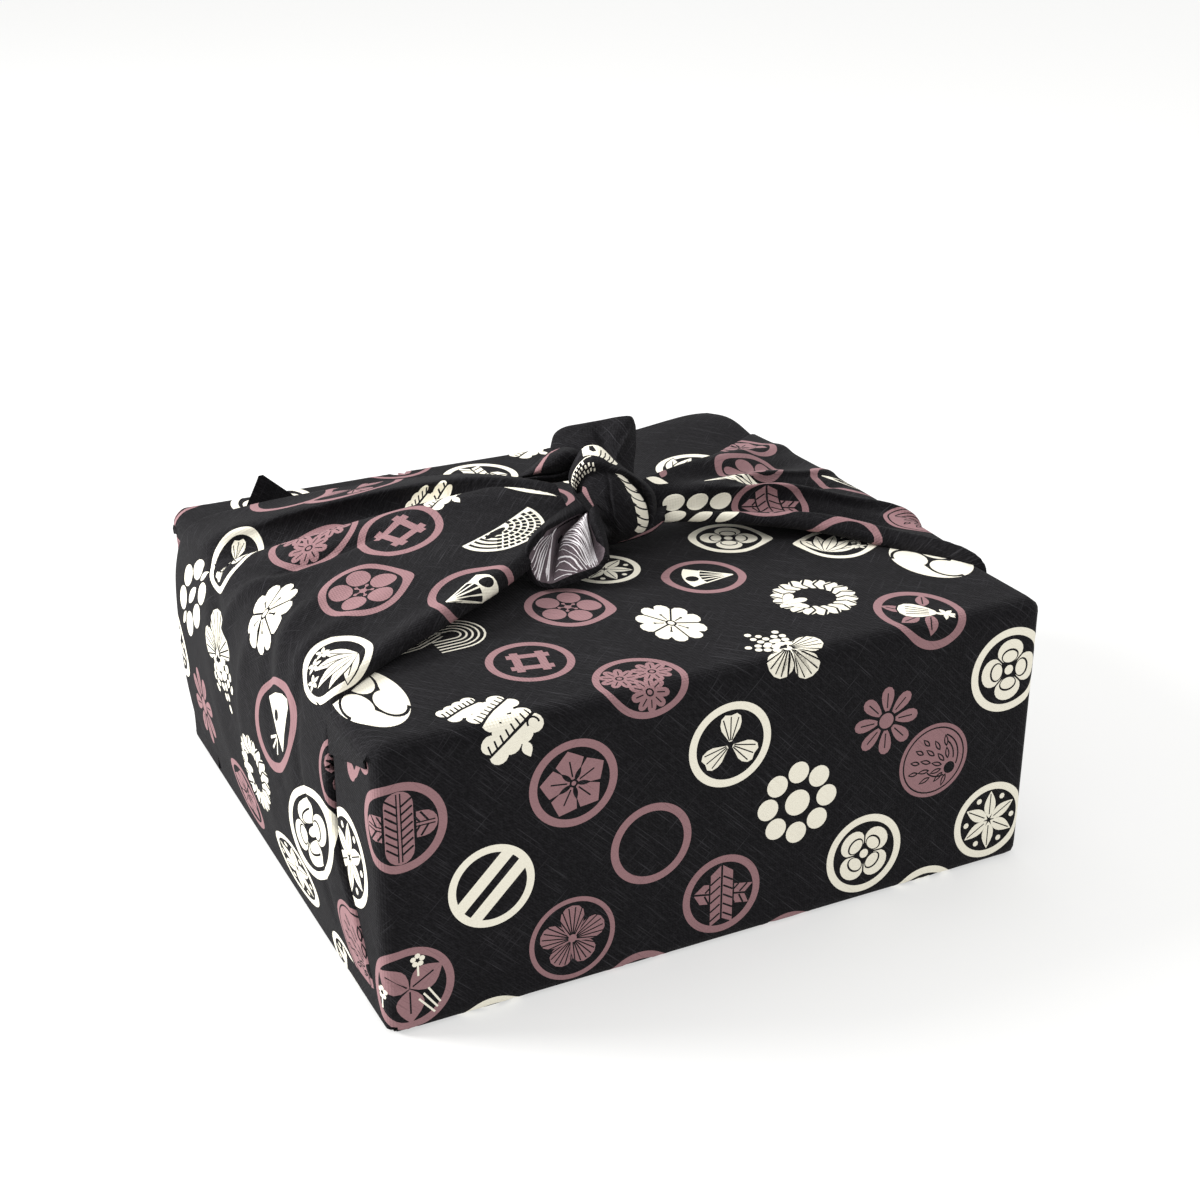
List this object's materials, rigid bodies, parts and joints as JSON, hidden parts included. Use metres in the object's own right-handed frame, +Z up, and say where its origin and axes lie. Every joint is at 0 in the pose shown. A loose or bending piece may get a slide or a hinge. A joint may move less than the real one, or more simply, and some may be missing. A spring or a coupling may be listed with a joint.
{
  "type": "furoshiki wrap tied round a box",
  "caption": "Patterned black cotton furoshiki cloth wrapped round a low box, its corners drawn over the top and tied in a square knot.",
  "frame": {"origin": "under the middle of the bundle, on the surface that it stands on", "axes": "+X along the front face, which the front corner of the cloth covers; +Y to the back; +Z up"},
  "size_m": [0.3157, 0.279, 0.1747],
  "materials": {
    "black_cotton": "matte"
  },
  "bodies": {
    "root": {"furoshiki": "black_cotton"}
  },
  "joints": []
}
